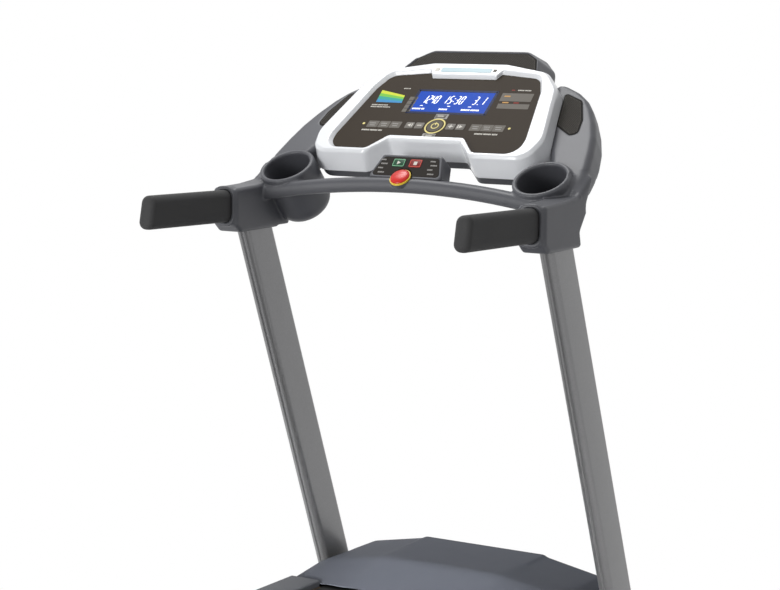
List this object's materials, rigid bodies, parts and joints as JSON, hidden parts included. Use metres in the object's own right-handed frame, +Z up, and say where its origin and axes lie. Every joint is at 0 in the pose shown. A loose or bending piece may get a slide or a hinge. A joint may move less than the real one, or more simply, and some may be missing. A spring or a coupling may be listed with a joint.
{
  "type": "folding treadmill",
  "caption": "Folding motorised treadmill with raked uprights, hand grips, cup holders, tilted console, power incline and a deck that folds up and locks.",
  "frame": {"origin": "on the floor, in the middle of the footprint", "axes": "+Z up, +Y forward to the console, +X to the user's right"},
  "size_m": [0.87, 1.78, 1.4517],
  "materials": {
    "white_gloss": "moulded, polished",
    "overlay_brown": "printed film",
    "display_blue": "clear window over a blue display",
    "key_grey": "moulded",
    "start_green": "moulded",
    "stop_red": "moulded",
    "safety_red": "moulded",
    "safety_yellow": "moulded",
    "slate_plastic": "fine moulded texture",
    "hood_plastic": "fine moulded texture",
    "panel_dark": "printed film",
    "grille_dark": "perforated",
    "grip_foam": "satin skin",
    "upright_silver": "metallic paint",
    "frame_black": "powder coat",
    "bright_steel": "turned",
    "belt_black": "woven texture",
    "rail_grey": "ribbed",
    "cap_black": "moulded",
    "board_wood": "waxed fibreboard",
    "rubber_black": "moulded",
    "motor_black": "enamel",
    "heatsink_aluminium": "extruded",
    "circuit_green": "solder mask",
    "speaker_black": "moulded"
  },
  "bodies": {
    "base": {"base_frame": "frame_black", "base_end_caps": "cap_black", "floor_pads": "rubber_black", "pivot_pins": "bright_steel", "left_upright": "upright_silver", "right_upright": "upright_silver", "upright_bolts": "bright_steel", "grip_bars": "frame_black", "left_grip": "grip_foam", "right_grip": "grip_foam", "left_housing": "slate_plastic", "right_housing": "slate_plastic", "left_cup_holder": "slate_plastic", "right_cup_holder": "slate_plastic", "crossbar": "slate_plastic", "pod_body": "slate_plastic", "pod_panel": "panel_dark", "safety_collar": "safety_yellow", "console_shell": "slate_plastic", "console_bezel": "white_gloss", "console_overlay": "overlay_brown", "lcd_window": "display_blue", "display_board": "circuit_green", "top_grille": "grille_dark", "side_grilles": "grille_dark", "speakers": "speaker_black", "incline_motor": "motor_black"},
    "left_wheel": {"left_transport_wheel": "rubber_black"},
    "right_wheel": {"right_transport_wheel": "rubber_black"},
    "incline_frame": {"incline_frame": "frame_black"},
    "fold_shaft": {"fold_shaft": "bright_steel"},
    "incline_rod": {"incline_rod": "bright_steel"},
    "lock_plunger": {"lock_plunger": "bright_steel"},
    "deck": {"deck_frame": "frame_black", "deck_board": "board_wood", "deck_cushions": "rubber_black", "walking_belt": "belt_black", "left_side_rail": "rail_grey", "right_side_rail": "rail_grey", "end_caps": "cap_black", "rear_feet": "rubber_black", "hood_cover": "hood_plastic", "belly_pan": "cap_black", "drive_motor": "motor_black", "drive_belt": "belt_black", "control_board": "heatsink_aluminium", "roller_axles": "bright_steel"},
    "front_roller": {"front_roller": "bright_steel"},
    "rear_roller": {"rear_roller": "bright_steel"},
    "motor_shaft": {"motor_shaft": "bright_steel"},
    "safety_key": {"safety_key": "safety_red"},
    "start_key": {"start_key": "start_green"},
    "stop_key": {"stop_key": "stop_red"},
    "round_key": {"round_key": "key_grey"},
    "left_near_key": {"left_near_key": "key_grey"},
    "left_far_key": {"left_far_key": "key_grey"},
    "right_near_key": {"right_near_key": "key_grey"},
    "right_far_key": {"right_far_key": "key_grey"},
    "upper_key": {"upper_key": "key_grey"},
    "lower_key": {"lower_key": "key_grey"}
  },
  "joints": [
    {"name": "incline_lift", "type": "hinge", "parent": "base", "child": "incline_frame", "pos_m": [0, 0.3, 0.08], "axis": [1, 0, 0], "range_deg": [0, 12]},
    {"name": "deck_level", "type": "hinge", "parent": "incline_frame", "child": "fold_shaft", "pos_m": [0, 0.78, 0.15], "axis": [-1, 0, 0], "range_deg": [0, 9]},
    {"name": "deck_fold", "type": "hinge", "parent": "fold_shaft", "child": "deck", "pos_m": [0, 0.78, 0.15], "axis": [-1, 0, 0], "range_deg": [0, 62]},
    {"name": "incline_screw", "type": "slide", "parent": "base", "child": "incline_rod", "axis": [0, 1, 0], "range_m": [0, 0.0102]},
    {"name": "lock_pull", "type": "slide", "parent": "incline_frame", "child": "lock_plunger", "axis": [1, 0, 0], "range_m": [0, 0.01], "stiffness_N_per_m": 600, "springref_m": -0.004},
    {"name": "front_roller_spin", "type": "hinge", "parent": "deck", "child": "front_roller", "pos_m": [0, 0.545, 0.1452], "axis": [1, 0, 0], "continuous": true},
    {"name": "rear_roller_spin", "type": "hinge", "parent": "deck", "child": "rear_roller", "pos_m": [0, -0.845, 0.1452], "axis": [1, 0, 0], "continuous": true},
    {"name": "motor_spin", "type": "hinge", "parent": "deck", "child": "motor_shaft", "pos_m": [0, 0.685, 0.165], "axis": [1, 0, 0], "continuous": true},
    {"name": "left_wheel_spin", "type": "hinge", "parent": "base", "child": "left_wheel", "pos_m": [-0.33, 0.864, 0.029], "axis": [1, 0, 0], "continuous": true},
    {"name": "right_wheel_spin", "type": "hinge", "parent": "base", "child": "right_wheel", "pos_m": [0.33, 0.864, 0.029], "axis": [1, 0, 0], "continuous": true},
    {"name": "safety_key_pull", "type": "slide", "parent": "base", "child": "safety_key", "axis": [0, -0.6157, 0.788], "range_m": [0, 0.02]},
    {"name": "start_key_press", "type": "slide", "parent": "base", "child": "start_key", "axis": [0, -0.7649, 0.6441], "range_m": [-0.0008, 0], "stiffness_N_per_m": 400, "springref_m": 0.001},
    {"name": "stop_key_press", "type": "slide", "parent": "base", "child": "stop_key", "axis": [0, -0.7649, 0.6441], "range_m": [-0.0008, 0], "stiffness_N_per_m": 400, "springref_m": 0.001},
    {"name": "round_key_press", "type": "slide", "parent": "base", "child": "round_key", "axis": [0, -0.6157, 0.788], "range_m": [-0.0008, 0], "stiffness_N_per_m": 400, "springref_m": 0.001},
    {"name": "left_near_key_press", "type": "slide", "parent": "base", "child": "left_near_key", "axis": [0, -0.6157, 0.788], "range_m": [-0.0008, 0], "stiffness_N_per_m": 400, "springref_m": 0.001},
    {"name": "left_far_key_press", "type": "slide", "parent": "base", "child": "left_far_key", "axis": [0, -0.6157, 0.788], "range_m": [-0.0008, 0], "stiffness_N_per_m": 400, "springref_m": 0.001},
    {"name": "right_near_key_press", "type": "slide", "parent": "base", "child": "right_near_key", "axis": [0, -0.6157, 0.788], "range_m": [-0.0008, 0], "stiffness_N_per_m": 400, "springref_m": 0.001},
    {"name": "right_far_key_press", "type": "slide", "parent": "base", "child": "right_far_key", "axis": [0, -0.6157, 0.788], "range_m": [-0.0008, 0], "stiffness_N_per_m": 400, "springref_m": 0.001},
    {"name": "upper_key_press", "type": "slide", "parent": "base", "child": "upper_key", "axis": [0, -0.6157, 0.788], "range_m": [-0.0008, 0], "stiffness_N_per_m": 400, "springref_m": 0.001},
    {"name": "lower_key_press", "type": "slide", "parent": "base", "child": "lower_key", "axis": [0, -0.6157, 0.788], "range_m": [-0.0008, 0], "stiffness_N_per_m": 400, "springref_m": 0.001}
  ],
  "couplings": [
    {"joint": "deck_level", "follows": "incline_lift", "ratio": 0.7029},
    {"joint": "incline_screw", "follows": "incline_lift", "m_per_rad": 0.04566},
    {"joint": "rear_roller_spin", "follows": "front_roller_spin", "ratio": 1},
    {"joint": "motor_spin", "follows": "front_roller_spin", "ratio": 2.1111}
  ]
}
